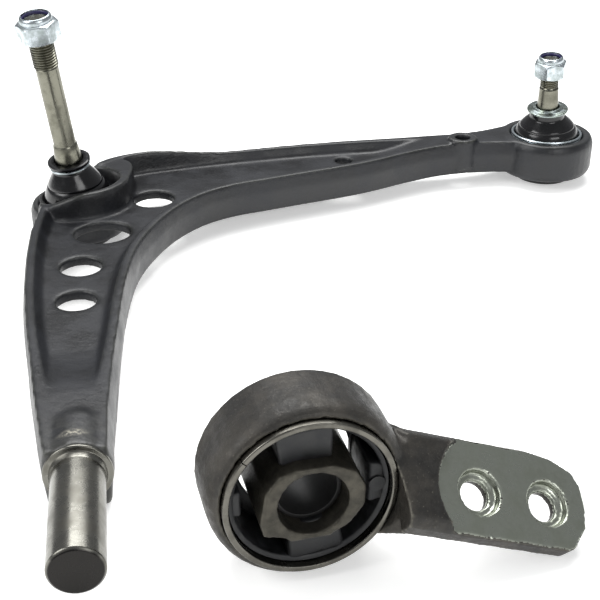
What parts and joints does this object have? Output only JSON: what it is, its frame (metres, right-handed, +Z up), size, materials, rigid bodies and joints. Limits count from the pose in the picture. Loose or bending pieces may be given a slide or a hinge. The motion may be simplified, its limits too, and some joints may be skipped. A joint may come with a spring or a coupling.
{
  "type": "suspension control arm",
  "caption": "L-shaped forged suspension arm with upright ball joints at its ends and a rear pin, beside the bolt-on ring bracket and rubber bush that carry the pin.",
  "frame": {"origin": "centre of the rear pin's flat end face", "axes": "+Z up as the set lies on a table, X from the inner ball joint towards the outer one, the rear pin points along -Y"},
  "size_m": [0.374, 0.4163, 0.1429],
  "materials": {
    "arm_paint": "satin near-black paint over a forged skin",
    "forged_iron": "dark oxidised forging",
    "turned_steel": "turned and ground",
    "zinc_plate": "bright zinc plate",
    "nut_nylon": "smooth violet-blue",
    "boot_rubber": "glossy moulded black",
    "bush_rubber": "matt moulded blue-black",
    "core_casting": "dull grey-brown casting",
    "bearing_plastic": "moulded off-white"
  },
  "bodies": {
    "arm": {"arm_forging": "arm_paint", "inner_cover_plate": "zinc_plate", "inner_preload_spring": "turned_steel", "inner_boot": "boot_rubber", "inner_boot_base_ring": "turned_steel", "outer_cover_plate": "zinc_plate", "outer_preload_spring": "turned_steel", "outer_boot": "boot_rubber", "outer_boot_base_ring": "zinc_plate"},
    "inner_cup": {"inner_bearing_cup": "bearing_plastic"},
    "inner_collar": {"inner_boot_garter": "zinc_plate"},
    "inner_stud": {"inner_ball_stud": "turned_steel", "inner_nut": "zinc_plate", "inner_nut_insert": "nut_nylon"},
    "outer_cup": {"outer_bearing_cup": "bearing_plastic"},
    "outer_collar": {"outer_seal_collar": "zinc_plate"},
    "outer_stud": {"outer_ball_stud": "turned_steel", "outer_nut": "zinc_plate", "outer_nut_insert": "nut_nylon"},
    "bracket": {"bracket_forging": "forged_iron", "bush_outer_sleeve": "turned_steel", "bush_rubber": "bush_rubber"},
    "bush_core": {"bush_inner_core": "core_casting", "bush_bore_liner": "turned_steel"}
  },
  "joints": [
    {"name": "inner_rock", "type": "hinge", "parent": "arm", "child": "inner_cup", "pos_m": [-0.0025, 0.326, 0.0015], "axis": [1, 0, 0], "range_deg": [-25.5, 8.5], "deforming": ["inner_boot"]},
    {"name": "inner_lean", "type": "hinge", "parent": "inner_cup", "child": "inner_collar", "pos_m": [-0.0025, 0.326, 0.0015], "axis": [0, 0.989, 0.1478], "range_deg": [-11, 23], "deforming": ["inner_boot"]},
    {"name": "inner_spin", "type": "hinge", "parent": "inner_collar", "child": "inner_stud", "pos_m": [-0.0025, 0.326, 0.0015], "axis": [-0.1045, -0.147, 0.9836], "continuous": true},
    {"name": "outer_rock", "type": "hinge", "parent": "arm", "child": "outer_cup", "pos_m": [0.311, 0.377, 0.0015], "axis": [1, 0, 0], "range_deg": [-23, 11], "deforming": ["outer_boot"]},
    {"name": "outer_lean", "type": "hinge", "parent": "outer_cup", "child": "outer_collar", "pos_m": [0.311, 0.377, 0.0015], "axis": [0, 0.9945, 0.1045], "range_deg": [-12.5, 21.5], "deforming": ["outer_boot"]},
    {"name": "outer_spin", "type": "hinge", "parent": "outer_collar", "child": "outer_stud", "pos_m": [0.311, 0.377, 0.0015], "axis": [-0.0785, -0.1042, 0.9915], "continuous": true},
    {"name": "bracket_slide", "type": "slide", "parent": "arm", "child": "bracket", "axis": [0, 1, 0], "range_m": [-0.04, 0.06]},
    {"name": "bush_twist", "type": "hinge", "parent": "bracket", "child": "bush_core", "pos_m": [0.0837, 0.0209, 0.0185], "axis": [-0.1028, 0.9947, 0], "range_deg": [-12, 12], "stiffness_Nm_per_rad": 20, "deforming": ["bush_rubber"]}
  ]
}
